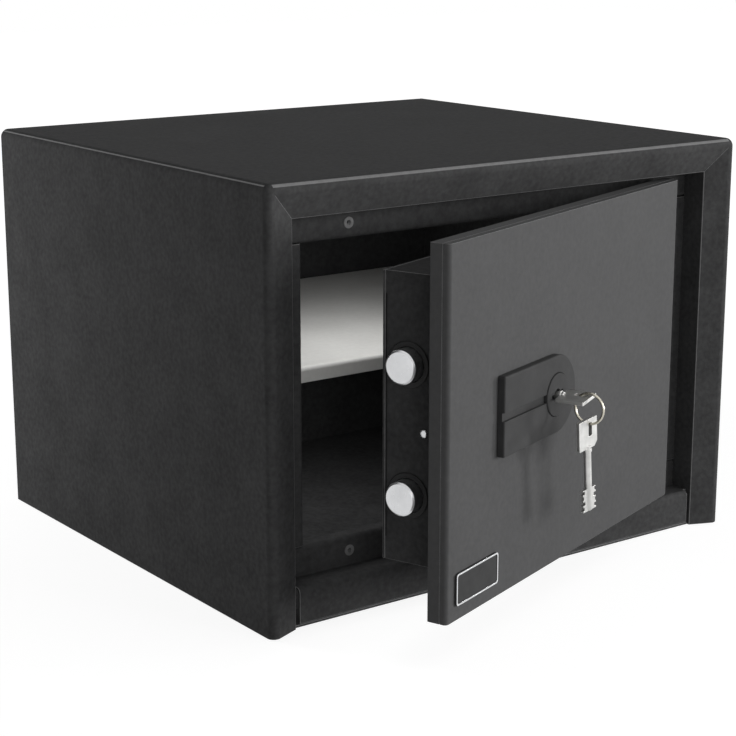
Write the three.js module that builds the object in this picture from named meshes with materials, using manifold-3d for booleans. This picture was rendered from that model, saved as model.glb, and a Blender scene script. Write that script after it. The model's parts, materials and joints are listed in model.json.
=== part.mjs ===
// A free-standing furniture safe: a folded sheet cabinet with bevelled posts, a box door on pivot pins,
// two round bolts on a carriage, a double-bit lever lock, and its key with a spare on a ring.
//
// Lengths are millimetres. Every piece is placed from the middle of the cabinet's front: x to the right,
// y back from the front, z up from the floor. Door pieces are placed as they lie when the door is shut,
// and one group then turns the whole door open on its pins.

import * as THREE from "three";
import { mergeVertices } from "three/addons/utils/BufferGeometryUtils.js";
import Module from "manifold-3d";

const wasm = await Module();
wasm.setup();

// Shared values
const rightAngle = Math.PI / 2;
const seat = 0.3; // what touching pieces of the turned door keep between them
const running = 0.4; // what a sliding or turning piece keeps around it
const overrun = 5; // how far a cutting shape passes the piece it cuts
const roundSides = { large: 48, small: 24 };
const bendSteps = 8;

// Cabinet
const cabinet = { width: 445, depth: 400, height: 320, sheet: 2, sideBend: 6.5, frontBend: 5.5 };
const post = { face: 26, setBack: 8, reveal: 21 };
const rail = { foot: 3.5, top: 30, lip: 4, endGap: 3.5, endDepth: 5 };
const stop = { width: 22, hingeWidth: 12, fold: 12, bend: 1.5, hole: 6, holeInset: 61.5 };
const hingePost = { depth: 31 };
const anchor = { hole: 12, floorSpread: 200, backSpread: 240, backHeight: 200 };
const shelf = { top: 163, lip: 12, frontGap: 100, backGap: 8, sideGap: 1.5 };
const support = { length: 24, reach: 14, drop: 18, inset: 30 };

// Hinge
const hinge = { inset: 29, behindStop: 6, openAngle: THREE.MathUtils.degToRad(20.4) };
const bracket = { plate: 4, nose: 11, armSetBack: 1, armDepth: 16, clearance: 0.5 };
const pin = { radius: 5, inBox: 14 };
const bush = { wall: 2, length: 9, flange: 1, flangeThickness: 2 };
const washer = { radius: 9, thickness: 0.9 };

// Door
const pan = { freeGap: 5.5, hingeOverhang: 7.5, gap: 3.5, depth: 15.5, plate: 4, flange: 2 };
const panCorner = { free: 3, hinge: 8, back: 1.5 };
const innerPlate = { thickness: 2 };
const guard = { width: 96, height: 84, thickness: 3 };
const box = { freeInset: 32.5, pastPivot: 10.5, below: 6, above: 10, depth: 54, sheet: 2, corner: 5, strip: 14 };
const cover = { thickness: 2, tab: 16, tabThickness: 2 };
const coverScrew = { head: 4.5, headHeight: 2.2, shank: 2, length: 9, inset: 8 };

// Bolts, their carriage and guides
const bolt = { radius: 12, behind: 6.8, aboveBox: 49, belowBox: 63, proud: 12, length: 58.2, chamfer: 1.4 };
const keeper = { gap: 0.7 };
const boltBush = { wall: 1.6, length: 8, flange: 2.2, flangeThickness: 1.2 };
const guide = { inset: 22, sheet: 2, foot: 16, front: 4, beyond: 8 };
const carriage = { thickness: 6, front: 32, beyond: 5 };
const boltScrew = { head: 5, headHeight: 4, shank: 3, length: 18 };
const sideRivet = { head: 3, headHeight: 1.8, shank: 1.8, length: 10, setBack: 23, below: 10.5 };

// Lock
const lock = { inset: 139.5, above: 129.5 };
const escutcheon = { left: 75.5, radius: 28.5, thickness: 5.5, groove: 3, grooveDepth: 2, edge: 1.2 };
const rosette = { radius: 15.7, proud: 6.6, edge: 0.5 };
const badge = { width: 56, height: 23, corner: 3, thickness: 1.4, inset: 10, above: 10.5 };
const keyhole = { shaft: 4.3, wing: 8.1, wingHeight: 1.7, throat: 8.6 };
const lockCase = { left: 40, right: 40, down: 35, up: 35, depth: 22.7, wall: 2, cover: 2, slot: 12.6 };
const lever = { thickness: 1.6, pitch: 2.6, first: 6.5, left: 16, right: 32, half: 24, hole: 9, count: 6, slot: 10 };
const leverPost = { radius: 2.5, offset: 24, spread: 15, bore: 1.8, boreDepth: 9 };
const leverScrew = { head: 3.6, headHeight: 2.2, shank: 1.5, length: 8 };
const curtain = { radius: 8.7, thickness: 3.4 };
const lockBolt = { half: 11, thickness: 10, front: 9.5, tail: 18 };

// Keys and ring
const key = { length: 69, bow: 22, bowWidth: 21, plate: 2.5, bar: 3, slot: 10, slotWidth: 4, slotOffset: 2.5 };
const shaft = { radius: 2.7, overlap: 2, collar: 0.6, collarLength: 2 };
const bit = { length: 17, half: 7.5, notch: 2.6 };
const bitShares = { places: [0.12, 0.36, 0.6, 0.84], depths: [0.3, 0.5, 0.2, 0.42] };
const inserted = { proud: 31.5, tilt: THREE.MathUtils.degToRad(8) };
const ring = { radius: 11, wire: 1, drop: 7.75, steps: 32, sides: 8 };
const spare = { lean: THREE.MathUtils.degToRad(6), turn: THREE.MathUtils.degToRad(9) };

// Places worked out from the sizes
const side = cabinet.width / 2;
const wallFace = side - cabinet.sheet;
const opening = { half: side - post.face, bottom: rail.top, top: cabinet.height - post.face };
const stopFront = post.setBack + post.reveal;
const stopEdge = {
  left: stop.width - opening.half,
  right: opening.half - stop.hingeWidth,
  bottom: opening.bottom + stop.width,
  top: opening.top - stop.width,
};
const pivot = { x: opening.half - hinge.inset, y: stopFront + hinge.behindStop };

const panEdge = {
  left: pan.freeGap - opening.half,
  right: pivot.x - pan.hingeOverhang,
  front: post.setBack,
  back: post.setBack + pan.depth,
  bottom: opening.bottom + pan.gap,
  top: opening.top - pan.gap,
};
const plateBack = panEdge.front + pan.plate;
const innerBack = panEdge.back - seat;
const boxEdge = {
  left: panEdge.left + box.freeInset,
  right: pivot.x + box.pastPivot,
  front: panEdge.back,
  back: panEdge.back + box.depth,
  bottom: stopEdge.bottom + box.below,
  top: stopEdge.top - box.above,
};
const coverFront = boxEdge.back + seat;
const coverBack = coverFront + cover.thickness;

const boltAxis = boxEdge.back - bolt.behind - bolt.radius;
const keeperBack = boltAxis - bolt.radius - keeper.gap;
const boltHeights = { upper: boxEdge.top - bolt.belowBox, lower: boxEdge.bottom + bolt.aboveBox };
const boltTip = boxEdge.left - bolt.proud;
const boltEnd = boltTip + bolt.length;
const carriageFront = boltEnd + seat;
const carriageBack = carriageFront + carriage.thickness;
const guideFace = boxEdge.left + guide.inset;

const lockAxis = { x: panEdge.left + lock.inset, z: panEdge.bottom + lock.above };
const caseEdge = {
  left: lockAxis.x - lockCase.left,
  right: lockAxis.x + lockCase.right,
  front: panEdge.back,
  back: panEdge.back + lockCase.depth,
  bottom: lockAxis.z - lockCase.down,
  top: lockAxis.z + lockCase.up,
};
const caseCoverFront = caseEdge.back + seat;
const caseCoverBack = caseCoverFront + lockCase.cover;
const leverPostX = lockAxis.x + leverPost.offset;
const lockBoltFront = caseEdge.front + lockBolt.front;
const escutcheonBack = panEdge.front - seat;
const bowEnd = panEdge.front - inserted.proud;

// Solids and outlines
function solidOf(geometry) {
  const bare = geometry.index ? geometry.toNonIndexed() : geometry.clone();
  bare.deleteAttribute("normal");
  bare.deleteAttribute("uv");
  const merged = mergeVertices(bare);
  const corners = merged.index.array;
  const triVerts = [];
  for (let i = 0; i < corners.length; i += 3) {
    const [a, b, c] = corners.slice(i, i + 3);
    const open = a !== b && b !== c && c !== a;
    if (open) {
      triVerts.push(a, b, c);
    }
  }
  const vertProperties = merged.attributes.position.array;
  return new wasm.Manifold(new wasm.Mesh({ numProp: 3, vertProperties, triVerts: new Uint32Array(triVerts) }));
}

function cut(body, ...tools) {
  return tools.reduce((rest, tool) => rest.subtract(tool), body);
}

function join(...bodies) {
  return bodies.reduce((whole, body) => whole.add(body));
}

function block([x0, x1], [y0, y1], [z0, z1]) {
  const geometry = new THREE.BoxGeometry(x1 - x0, y1 - y0, z1 - z0);
  geometry.translate((x0 + x1) / 2, (y0 + y1) / 2, (z0 + z1) / 2);
  return solidOf(geometry);
}

// A turned piece about an axis, from steps of [place along the axis, radius there] in rising order.
function turned(axis, steps, centre, sides = roundSides.small) {
  const closed = [[steps[0][0], 0], ...steps, [steps[steps.length - 1][0], 0]];
  const profile = closed.map(([along, radius]) => new THREE.Vector2(radius, along));
  const geometry = new THREE.LatheGeometry(profile, sides);
  if (axis === "x") {
    geometry.rotateZ(-rightAngle);
    geometry.translate(0, centre[0], centre[1]);
  }
  if (axis === "y") {
    geometry.translate(centre[0], 0, centre[1]);
  }
  if (axis === "z") {
    geometry.rotateX(rightAngle);
    geometry.translate(centre[0], centre[1], 0);
  }
  return solidOf(geometry);
}

// A round bar from one place to another along an axis; the other two places are its centre.
function bar(axis, radius, [from, to], centre, sides = roundSides.small) {
  return turned(axis, [[from, radius], [to, radius]], centre, sides);
}

// A screw whose head sits on a face, with its shank going the given way from there.
function screw(axis, face, way, { head, headHeight, shank, length }, place) {
  const steps = [
    [face - way * headHeight, head],
    [face, head],
    [face, shank],
    [face + way * length, shank],
  ];
  return turned(axis, way > 0 ? steps : steps.reverse(), place);
}

// Points of an arc, from one angle to another, both ends included.
function arc([cx, cy], radius, fromAngle, toAngle, steps = bendSteps) {
  const points = [];
  for (let step = 0; step <= steps; step++) {
    const angle = fromAngle + ((toAngle - fromAngle) * step) / steps;
    points.push([cx + radius * Math.cos(angle), cy + radius * Math.sin(angle)]);
  }
  return points;
}

// A path whose inner corners are bent round to one radius, or to a radius each.
function bent(path, radii) {
  const points = [path[0]];
  for (let i = 1; i < path.length - 1; i++) {
    const corner = new THREE.Vector2(...path[i]);
    const back = new THREE.Vector2(...path[i - 1]).sub(corner).normalize();
    const on = new THREE.Vector2(...path[i + 1]).sub(corner).normalize();
    const half = Math.acos(THREE.MathUtils.clamp(back.dot(on), -1, 1)) / 2;
    const radius = Array.isArray(radii) ? radii[i - 1] : radii;
    const middle = back.clone().add(on).normalize();
    const centre = corner.clone().addScaledVector(middle, radius / Math.sin(half));
    const start = corner.clone().addScaledVector(back, radius / Math.tan(half)).sub(centre).angle();
    const end = corner.clone().addScaledVector(on, radius / Math.tan(half)).sub(centre).angle();
    const sweep = THREE.MathUtils.euclideanModulo(end - start + Math.PI, 2 * Math.PI) - Math.PI;
    points.push(...arc(centre.toArray(), radius, start, start + sweep));
  }
  points.push(path[path.length - 1]);
  return points;
}

// The closed outline of a sheet whose outer face follows the path, with its material on the path's left.
function sheetOutline(path, thickness) {
  const inner = path.map((point, i) => {
    const before = new THREE.Vector2(...path[Math.max(i - 1, 0)]);
    const here = new THREE.Vector2(...point);
    const after = new THREE.Vector2(...path[Math.min(i + 1, path.length - 1)]);
    const entry = i > 0 ? here.clone().sub(before).normalize() : after.clone().sub(here).normalize();
    const exit = i < path.length - 1 ? after.clone().sub(here).normalize() : entry;
    const left = new THREE.Vector2(-entry.y - exit.y, entry.x + exit.x).normalize();
    const reach = thickness / (left.y * entry.x - left.x * entry.y);
    return here.addScaledVector(left, reach).toArray();
  });
  return [...path, ...inner.reverse()];
}

// An outline drawn across an axis and stretched along it: across x it is (y, z), across y it is (x, z)
// and across z it is (x, y).
function prism(axis, outline, [from, to]) {
  const shape = new THREE.Shape(outline.map(([a, b]) => new THREE.Vector2(a, b)));
  const geometry = new THREE.ExtrudeGeometry(shape, { depth: to - from, bevelEnabled: false });
  if (axis === "x") {
    geometry.rotateX(rightAngle);
    geometry.rotateZ(rightAngle);
    geometry.translate(from, 0, 0);
  }
  if (axis === "y") {
    geometry.rotateX(rightAngle);
    geometry.translate(0, to, 0);
  }
  if (axis === "z") {
    geometry.translate(0, 0, from);
  }
  return solidOf(geometry);
}

// A rectangle with a radius for each corner, from the low corner on round.
function roundedRectangle([a0, a1], [b0, b1], [r0, r1, r2, r3]) {
  return [
    ...arc([a0 + r0, b0 + r0], r0, 2 * rightAngle, 3 * rightAngle),
    ...arc([a1 - r1, b0 + r1], r1, 3 * rightAngle, 4 * rightAngle),
    ...arc([a1 - r2, b1 - r2], r2, 0, rightAngle),
    ...arc([a0 + r3, b1 - r3], r3, rightAngle, 2 * rightAngle),
  ];
}

// A slot with round ends, its long way along the second axis of the outline.
function slotOutline([ca, cb], halfWidth, halfLength) {
  const straight = halfLength - halfWidth;
  return [
    ...arc([ca, cb + straight], halfWidth, 0, 2 * rightAngle, 2 * bendSteps),
    ...arc([ca, cb - straight], halfWidth, 2 * rightAngle, 4 * rightAngle, 2 * bendSteps),
  ];
}

// Materials
const looks = {
  coated: { color: 0x454546, roughness: 0.62, metalness: 0.1 },
  shelfCoat: { color: 0xdddcd8, roughness: 0.6, metalness: 0 },
  door: { color: 0x535354, roughness: 0.6, metalness: 0.1 },
  plastic: { color: 0x3f3f40, roughness: 0.45, metalness: 0 },
  plated: { color: 0xc9cbcd, roughness: 0.3, metalness: 0.9 },
  nickel: { color: 0xb8b7b5, roughness: 0.3, metalness: 1 },
  zinc: { color: 0x9a9c9e, roughness: 0.5, metalness: 0.8 },
  steel: { color: 0x77797b, roughness: 0.45, metalness: 0.8 },
  brass: { color: 0xb08d4c, roughness: 0.4, metalness: 0.9 },
  bearing: { color: 0xcfcabb, roughness: 0.6, metalness: 0 },
};

function piece(group, name, solid, look) {
  const { vertProperties, triVerts } = solid.getMesh();
  const geometry = new THREE.BufferGeometry();
  geometry.setAttribute("position", new THREE.BufferAttribute(vertProperties, 3));
  geometry.setIndex(new THREE.BufferAttribute(triVerts, 1));
  geometry.computeVertexNormals();
  const mesh = new THREE.Mesh(geometry, new THREE.MeshStandardMaterial(looks[look]));
  mesh.name = name;
  group.add(mesh);
  return mesh;
}

// Cabinet shell: one sheet wrapped over both sides and the top, and folded in round the opening

// The outer line of the shell's cross-section, in (inward from the outer face, back from the front).
function shellPath() {
  const bend = cabinet.frontBend;
  const toEdge = new THREE.Vector2(post.face - bend, post.setBack - bend);
  const leave = toEdge.angle() - Math.acos(bend / toEdge.length());
  const front = arc([bend, bend], bend, -2 * rightAngle, leave > 0 ? leave - 4 * rightAngle : leave);
  return [[0, cabinet.depth], ...front, [post.face, post.setBack], [post.face, stopFront]];
}

// The way that each point of the cross-section takes: up one side, over the top and down the other side.
function wrapPath(inward, y) {
  const radius = Math.max(cabinet.sideBend - inward, 0);
  const reach = side - Math.max(cabinet.sideBend, inward);
  const height = cabinet.height - Math.max(cabinet.sideBend, inward);
  const left = arc([-reach, height], radius, 2 * rightAngle, rightAngle);
  const right = arc([reach, height], radius, rightAngle, 0);
  const line = [[inward - side, 0], ...left, ...right, [side - inward, 0]];
  return line.map(([x, z]) => new THREE.Vector3(x, y, z));
}

function shellSolid() {
  const section = sheetOutline(shellPath(), cabinet.sheet);
  const rows = section.map(([inward, y]) => wrapPath(inward, y));
  const columns = rows[0].length;
  const corners = [];
  const quad = (a, b, c, d) => corners.push(a, b, c, a, c, d);
  rows.forEach((row, i) => {
    const next = rows[(i + 1) % rows.length];
    for (let j = 1; j < columns; j++) {
      quad(row[j - 1], next[j - 1], next[j], row[j]);
    }
  });
  const contour = section.map((point) => new THREE.Vector2(...point));
  for (const [a, b, c] of THREE.ShapeUtils.triangulateShape(contour, [])) {
    corners.push(rows[a][0], rows[c][0], rows[b][0]);
    corners.push(rows[a][columns - 1], rows[b][columns - 1], rows[c][columns - 1]);
  }
  const flat = corners.flatMap((corner) => corner.toArray());
  const geometry = new THREE.BufferGeometry();
  geometry.setAttribute("position", new THREE.Float32BufferAttribute(flat, 3));
  return solidOf(geometry);
}

function addCabinetPanels(group) {
  piece(group, "cabinet_shell", shellSolid(), "coated");
  const back = [cabinet.depth - cabinet.sheet, cabinet.depth];
  const beyondBack = [back[0] - overrun, back[1] + overrun];
  const backHoles = [-1, 1].map((way) => {
    return bar("y", anchor.hole / 2, beyondBack, [(way * anchor.backSpread) / 2, anchor.backHeight]);
  });
  const backOutline = wrapPath(cabinet.sheet, 0).map(({ x, z }) => [x, z]);
  piece(group, "back_panel", cut(prism("y", backOutline, back), ...backHoles), "coated");
  const floorHoles = [-1, 1].map((way) => {
    const place = [(way * anchor.floorSpread) / 2, cabinet.depth / 2];
    return bar("z", anchor.hole / 2, [-overrun, cabinet.sheet + overrun], place);
  });
  const tongueFront = post.setBack + cabinet.sheet + seat;
  const tongue = [[opening.half, stopFront], [opening.half, tongueFront]];
  const front = [...tongue, ...tongue.map(([x, y]) => [-x, y]).reverse()];
  const outline = [[wallFace, back[0]], [wallFace, stopFront], ...front, [-wallFace, stopFront]];
  outline.push([-wallFace, back[0]]);
  piece(group, "floor_panel", cut(prism("z", outline, [0, cabinet.sheet]), ...floorHoles), "coated");
}

// A hole through the stop flange near the keeper side, above or below the opening.
function stopHole(z) {
  const through = [stopFront - overrun, stopFront + overrun];
  return bar("y", stop.hole / 2, through, [stop.holeInset - opening.half, z]);
}

function addDoorFrame(group) {
  const sheet = cabinet.sheet;
  const span = [-opening.half, opening.half];
  const foldBack = stopFront + stop.fold;
  const revealOuter = opening.half + sheet;

  const railPath = [
    [foldBack, stopEdge.bottom],
    [stopFront, stopEdge.bottom],
    [stopFront, opening.bottom],
    [post.setBack, opening.bottom],
    [post.setBack, rail.foot],
  ];
  const railOutline = sheetOutline(bent(railPath, [stop.bend + sheet, stop.bend, rail.lip]), sheet);
  const ends = [-1, 1].map((way) => {
    const reach = [way * opening.half, way * (opening.half - rail.endGap)].sort((a, b) => a - b);
    const depth = [post.setBack - overrun, post.setBack + rail.endDepth];
    return block([reach[0] - (way < 0 ? overrun : 0), reach[1] + (way > 0 ? overrun : 0)], depth,
      [0, opening.bottom + overrun]);
  });
  const lowerHole = stopHole((opening.bottom + stopEdge.bottom) / 2);
  piece(group, "bottom_rail", cut(prism("x", railOutline, span), ...ends, lowerHole), "coated");

  const topPath = [[stopFront, opening.top + sheet], [stopFront, stopEdge.top], [foldBack, stopEdge.top]];
  const topOutline = sheetOutline(bent(topPath, stop.bend + sheet), sheet);
  const upperHole = stopHole((opening.top + stopEdge.top) / 2);
  piece(group, "top_stop", cut(prism("x", topOutline, span), upperHole), "coated");

  const height = [stopEdge.bottom, stopEdge.top];
  const keeperPath = [
    [-revealOuter, stopFront],
    [stopEdge.left, stopFront],
    [stopEdge.left, keeperBack],
    [-wallFace, keeperBack],
  ];
  const keeperOutline = sheetOutline(bent(keeperPath, stop.bend + sheet), sheet);
  piece(group, "keeper_post", prism("z", keeperOutline, height), "coated");

  const hingeBack = stopFront + hingePost.depth;
  const hingePath = [
    [wallFace, hingeBack],
    [stopEdge.right, hingeBack],
    [stopEdge.right, stopFront],
    [revealOuter, stopFront],
  ];
  const hingeOutline = sheetOutline(bent(hingePath, stop.bend + sheet), sheet);
  piece(group, "hinge_post", prism("z", hingeOutline, height), "coated");
}

function addShelf(group) {
  const depth = [shelf.frontGap, cabinet.depth - cabinet.sheet - shelf.backGap];
  const foot = shelf.top - shelf.lip;
  const path = [[depth[1], foot], [depth[1], shelf.top], [depth[0], shelf.top], [depth[0], foot]];
  const outline = sheetOutline(bent(path, stop.bend + cabinet.sheet), cabinet.sheet);
  const reach = wallFace - shelf.sideGap;
  piece(group, "shelf", prism("x", outline, [-reach, reach]), "shelfCoat");

  const top = shelf.top - cabinet.sheet;
  const legs = [[wallFace - support.reach, top], [wallFace, top], [wallFace, top - support.drop]];
  const right = sheetOutline([...legs].reverse(), cabinet.sheet);
  const sections = { left: right.map(([x, z]) => [-x, z]), right };
  const places = {
    front: depth[0] + support.inset,
    rear: depth[1] - support.inset - support.length,
  };
  for (const [hand, section] of Object.entries(sections)) {
    for (const [end, y] of Object.entries(places)) {
      const bracketSolid = prism("y", section, [y, y + support.length]);
      piece(group, `shelf_support_${hand}_${end}`, bracketSolid, "coated");
    }
  }
}

// Hinge: a bracket and a pin above and below the bolt-work box, and a washer that carries the door
function addHinge(group) {
  const arm = [pivot.y - bracket.armSetBack, pivot.y - bracket.armSetBack + bracket.armDepth];
  const plates = {
    lower: stopEdge.bottom + bracket.clearance,
    upper: boxEdge.top + bracket.clearance + washer.thickness,
  };
  const centre = [pivot.x, pivot.y];
  for (const [end, z] of Object.entries(plates)) {
    const plate = [z, z + bracket.plate];
    const nose = bar("z", bracket.nose, plate, centre, roundSides.large);
    const body = join(nose, block([pivot.x, stopEdge.right], arm, plate));
    const hole = bar("z", pin.radius + seat, [plate[0] - overrun, plate[1] + overrun], centre);
    piece(group, `hinge_bracket_${end}`, cut(body, hole), "coated");
  }
  const lowerPin = [plates.lower, boxEdge.bottom + pin.inBox];
  const upperPin = [boxEdge.top - pin.inBox, plates.upper + bracket.plate];
  piece(group, "hinge_pin_lower", bar("z", pin.radius, lowerPin, centre), "steel");
  piece(group, "hinge_pin_upper", bar("z", pin.radius, upperPin, centre), "steel");
  const washerFoot = plates.lower + bracket.plate;
  const ringSpan = [washerFoot, washerFoot + washer.thickness];
  const washerHole = bar("z", pin.radius + seat, [-overrun, boxEdge.top], centre);
  const washerSolid = cut(bar("z", washer.radius, ringSpan, centre), washerHole);
  piece(group, "thrust_washer", washerSolid, "bearing");
}

// Door shell: folded pan, inner plate, drill guard, bolt-work box with its cover, and hinge bushes

// The round way for the key's bit through the plates behind the rosette.
function throat(from, to) {
  return bar("y", keyhole.throat, [from - overrun, to + overrun], [lockAxis.x, lockAxis.z]);
}

function addDoorPan(group) {
  const across = [panEdge.left, panEdge.right];
  const deep = [panEdge.front, panEdge.back];
  const tall = [panEdge.bottom, panEdge.top];
  const radii = [panCorner.free, panCorner.hinge, panCorner.back, panCorner.back];
  const outer = prism("z", roundedRectangle(across, deep, radii), tall);
  const inset = ([low, high]) => [low + pan.flange, high - pan.flange];
  const innerRadii = [panCorner.back, panCorner.hinge - pan.flange, 0, 0];
  const pocketDepth = [plateBack, panEdge.back + overrun];
  const pocket = prism("z", roundedRectangle(inset(across), pocketDepth, innerRadii), inset(tall));
  piece(group, "door_pan", cut(outer, pocket, throat(...deep)), "door");

  const fit = ([low, high]) => [low + pan.flange + seat, high - pan.flange - seat];
  const plateDeep = [innerBack - innerPlate.thickness, innerBack];
  const plate = block(fit(across), plateDeep, fit(tall));
  piece(group, "door_inner_plate", cut(plate, throat(...plateDeep)), "coated");

  const guardDeep = [plateBack + seat, plateBack + seat + guard.thickness];
  const guardAcross = [lockAxis.x - guard.width / 2, lockAxis.x + guard.width / 2];
  const guardTall = [lockAxis.z - guard.height / 2, lockAxis.z + guard.height / 2];
  const guardSolid = block(guardAcross, guardDeep, guardTall);
  piece(group, "drill_guard", cut(guardSolid, throat(...guardDeep)), "steel");
}

// The corners of the bolt-work box where the cover is screwed on, each with the way its tab points.
function coverCorners() {
  const corners = [];
  for (const [x, xWay] of [[boxEdge.left, 1], [boxEdge.right, -1]]) {
    for (const [z, zWay] of [[boxEdge.bottom, 1], [boxEdge.top, -1]]) {
      corners.push({ x, z, xWay, zWay });
    }
  }
  return corners;
}

function span(from, length) {
  return [Math.min(from, from + length), Math.max(from, from + length)];
}

function addBoltBox(group) {
  const across = [boxEdge.left, boxEdge.right];
  const deep = [boxEdge.front, boxEdge.back];
  const tall = [boxEdge.bottom, boxEdge.top];
  const sharp = box.sheet;
  const outer = prism("z", roundedRectangle(across, deep, [sharp, box.corner, sharp, sharp]), tall);
  const inset = ([low, high]) => [low + box.sheet, high - box.sheet];
  const hollow = block(inset(across), [boxEdge.front + box.sheet, boxEdge.back + overrun], inset(tall));
  const mouthAcross = [boxEdge.left + box.sheet, panEdge.right - box.strip];
  const mouth = block(mouthAcross, [boxEdge.front - overrun, boxEdge.back], inset(tall));
  const insideCorner = box.corner - box.sheet;
  const keep = cut(
    block(span(boxEdge.right - box.sheet, -insideCorner), span(boxEdge.front + box.sheet, insideCorner), tall),
    bar("z", insideCorner, [boxEdge.bottom - overrun, boxEdge.top + overrun],
      [boxEdge.right - box.corner, boxEdge.front + box.corner], roundSides.large),
  );
  const walls = cut(outer, hollow, mouth);
  const tabs = coverCorners().map(({ x, z, xWay, zWay }) => {
    return block(span(x, xWay * cover.tab), span(boxEdge.back, -cover.tabThickness), span(z, zWay * cover.tab));
  });
  const holes = coverCorners().map(({ x, z, xWay, zWay }) => {
    const place = [x + xWay * coverScrew.inset, z + zWay * coverScrew.inset];
    const through = [boxEdge.back - cover.tabThickness - overrun, boxEdge.back + overrun];
    return bar("y", coverScrew.shank + seat, through, place);
  });
  const boltHoles = Object.values(boltHeights).map((z) => {
    const radius = bolt.radius + running + boltBush.wall + seat;
    return bar("x", radius, [boxEdge.left - overrun, boxEdge.left + overrun], [boltAxis, z], roundSides.large);
  });
  const pinHoles = [boxEdge.bottom, boxEdge.top].map((z) => {
    const radius = pin.radius + seat + bush.wall + seat;
    return bar("z", radius, [z - overrun, z + overrun], [pivot.x, pivot.y]);
  });
  const rivetPlace = [boxEdge.front + sideRivet.setBack, lockAxis.z - sideRivet.below];
  const rivetHole = bar("x", sideRivet.shank + seat, [boxEdge.left - overrun, boxEdge.left + overrun], rivetPlace);
  const whole = cut(join(walls, keep, ...tabs), ...holes, ...boltHoles, ...pinHoles, rivetHole);
  piece(group, "boltwork_box", whole, "coated");

  const headFront = boxEdge.left - seat;
  piece(group, "side_rivet", screw("x", headFront, 1, sideRivet, rivetPlace), "plated");
}

function addBoxCover(group) {
  const deep = [coverFront, coverBack];
  const places = coverCorners().map(({ x, z, xWay, zWay }) => {
    return [x + xWay * coverScrew.inset, z + zWay * coverScrew.inset];
  });
  const holes = places.map((place) => {
    return bar("y", coverScrew.shank + seat, [coverFront - overrun, coverBack + overrun], place);
  });
  const plate = block([boxEdge.left, boxEdge.right], deep, [boxEdge.bottom, boxEdge.top]);
  piece(group, "boltwork_cover", cut(plate, ...holes), "coated");
  const names = ["free_lower", "free_upper", "hinge_lower", "hinge_upper"];
  const headFront = coverBack + seat;
  places.forEach((place, i) => {
    piece(group, `cover_screw_${names[i]}`, screw("y", headFront, -1, coverScrew, place), "zinc");
  });
}

function addHingeBushes(group) {
  const centre = [pivot.x, pivot.y];
  const outer = pin.radius + seat + bush.wall;
  const floor = boxEdge.bottom + box.sheet;
  const roof = boxEdge.top - box.sheet;
  const ends = {
    lower: { barrel: span(boxEdge.bottom, bush.length), flange: span(floor, bush.flangeThickness) },
    upper: { barrel: span(boxEdge.top, -bush.length), flange: span(roof, -bush.flangeThickness) },
  };
  for (const [end, { barrel, flange }] of Object.entries(ends)) {
    const brim = outer + bush.flange;
    const body = join(bar("z", outer, barrel, centre), bar("z", brim, flange, centre));
    const bore = bar("z", pin.radius + seat, [barrel[0] - overrun, barrel[1] + overrun], centre);
    piece(group, `hinge_bush_${end}`, cut(body, bore), "brass");
  }
}

// Bolt guides: a flanged bush in the box's side for each bolt, and one bracket inside
function addBoltGuides(group) {
  for (const [end, z] of Object.entries(boltHeights)) {
    const bore = bolt.radius + running;
    const outer = bore + boltBush.wall;
    const place = [boltAxis, z];
    const face = boxEdge.left - seat;
    const flange = span(face, -boltBush.flangeThickness);
    const barrel = span(face, boltBush.length);
    const body = join(
      bar("x", outer, barrel, place, roundSides.large),
      bar("x", outer + boltBush.flange, flange, place, roundSides.large),
    );
    const hole = bar("x", bore, [flange[0] - overrun, barrel[1] + overrun], place, roundSides.large);
    piece(group, `bolt_bush_${end}`, cut(body, hole), "plastic");
  }
  const path = [
    [guideFace, boxEdge.back - guide.front],
    [guideFace, boxEdge.front],
    [guideFace + guide.foot, boxEdge.front],
  ];
  const outline = sheetOutline(bent(path, stop.bend + guide.sheet), guide.sheet);
  const reach = bolt.radius + guide.beyond;
  const plate = prism("z", outline, [boltHeights.lower - reach, boltHeights.upper + reach]);
  const holes = Object.values(boltHeights).map((z) => {
    const through = [guideFace - overrun, guideFace + guide.sheet + overrun];
    return bar("x", bolt.radius + running, through, [boltAxis, z], roundSides.large);
  });
  const linkRadius = boltScrew.head + 2 * running;
  const linkHole = bar("x", linkRadius, [guideFace - overrun, guideFace + overrun],
    [lockBoltFront + lockBolt.thickness / 2, lockAxis.z]);
  piece(group, "bolt_guide", cut(plate, ...holes, linkHole), "steel");
}

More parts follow.
